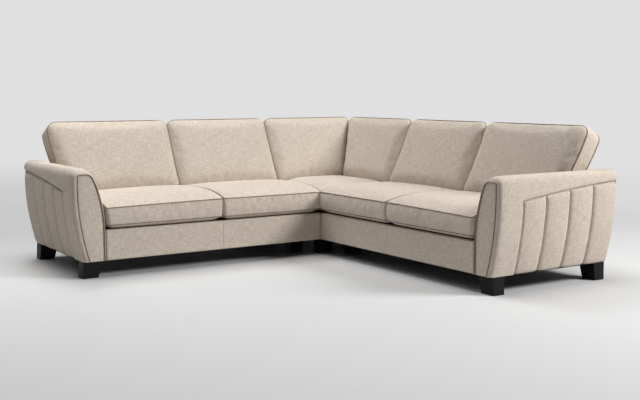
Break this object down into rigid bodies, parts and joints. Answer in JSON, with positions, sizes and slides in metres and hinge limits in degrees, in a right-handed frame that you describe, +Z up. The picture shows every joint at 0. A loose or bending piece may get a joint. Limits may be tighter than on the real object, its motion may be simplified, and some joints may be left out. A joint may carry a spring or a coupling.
{
  "type": "corner sofa",
  "caption": "Corner sofa with mirrored wings on a square corner unit: loose boxed seat and leaning back cushions, flared arms with channelled outer sides, piping and tapered block feet.",
  "frame": {"origin": "on the floor under the middle of the square that the sofa's plan fills", "axes": "+Z up; the left wing runs along X with its back towards +Y and its arm at the -X end; the right wing runs along Y with its back towards +X and its arm at the -Y end"},
  "size_m": [2.7153, 2.7153, 0.9279],
  "materials": {
    "beige_linen": "matt, woven upholstery cloth with darker piping",
    "foam_core": "matt, foam block in a thin wrap",
    "frame_timber": "bare, sawn softwood and plywood",
    "lining_cloth": "matt, thin black lining cloth",
    "webbing": "matt, woven elastic webbing",
    "spring_steel": "plain bright steel",
    "black_wood": "satin black stain"
  },
  "bodies": {
    "sofa": {"back_cushion_cores": "foam_core", "back_webbing": "webbing", "corner_back_frame": "frame_timber", "corner_back_ledge": "beige_linen", "corner_dust_cover": "lining_cloth", "corner_inside_back": "beige_linen", "corner_outside_back": "beige_linen", "corner_seat_deck": "lining_cloth", "corner_seat_rails": "frame_timber", "feet": "black_wood", "foot_blocks": "frame_timber", "foot_bolts": "spring_steel", "joining_plates": "spring_steel", "left_arm_channel_panel": "beige_linen", "left_arm_frame": "frame_timber", "left_arm_front_panel": "beige_linen", "left_arm_inner_pad": "beige_linen", "left_arm_top_pad": "beige_linen", "left_back_frame": "frame_timber", "left_back_ledge": "beige_linen", "left_base_border": "beige_linen", "left_corner_back_cushion": "beige_linen", "left_cross_rails": "frame_timber", "left_dust_cover": "lining_cloth", "left_end_back_cushion": "beige_linen", "left_inside_back": "beige_linen", "left_middle_back_cushion": "beige_linen", "left_outside_back": "beige_linen", "left_seat_deck": "lining_cloth", "left_seat_rails": "frame_timber", "right_arm_channel_panel": "beige_linen", "right_arm_frame": "frame_timber", "right_arm_front_panel": "beige_linen", "right_arm_inner_pad": "beige_linen", "right_arm_top_pad": "beige_linen", "right_back_frame": "frame_timber", "right_back_ledge": "beige_linen", "right_base_border": "beige_linen", "right_corner_back_cushion": "beige_linen", "right_cross_rails": "frame_timber", "right_dust_cover": "lining_cloth", "right_end_back_cushion": "beige_linen", "right_inside_back": "beige_linen", "right_middle_back_cushion": "beige_linen", "right_outside_back": "beige_linen", "right_seat_deck": "lining_cloth", "right_seat_rails": "frame_timber", "seat_springs": "spring_steel", "spring_clips": "spring_steel"},
    "left_end_seat": {"left_end_seat_cover": "beige_linen", "left_end_seat_core": "foam_core"},
    "right_end_seat": {"right_end_seat_cover": "beige_linen", "right_end_seat_core": "foam_core"},
    "left_inner_seat": {"left_inner_seat_cover": "beige_linen", "left_inner_seat_core": "foam_core"},
    "right_inner_seat": {"right_inner_seat_cover": "beige_linen", "right_inner_seat_core": "foam_core"},
    "corner_seat": {"corner_seat_cover": "beige_linen", "corner_seat_core": "foam_core"}
  },
  "joints": [
    {"name": "left_end_seat_lift", "type": "slide", "parent": "sofa", "child": "left_end_seat", "axis": [0, 0, 1], "range_m": [0, 0.3]},
    {"name": "right_end_seat_lift", "type": "slide", "parent": "sofa", "child": "right_end_seat", "axis": [0, 0, 1], "range_m": [0, 0.3]},
    {"name": "left_inner_seat_lift", "type": "slide", "parent": "sofa", "child": "left_inner_seat", "axis": [0, 0, 1], "range_m": [0, 0.3]},
    {"name": "right_inner_seat_lift", "type": "slide", "parent": "sofa", "child": "right_inner_seat", "axis": [0, 0, 1], "range_m": [0, 0.3]},
    {"name": "corner_seat_lift", "type": "slide", "parent": "sofa", "child": "corner_seat", "axis": [0, 0, 1], "range_m": [0, 0.3]}
  ]
}
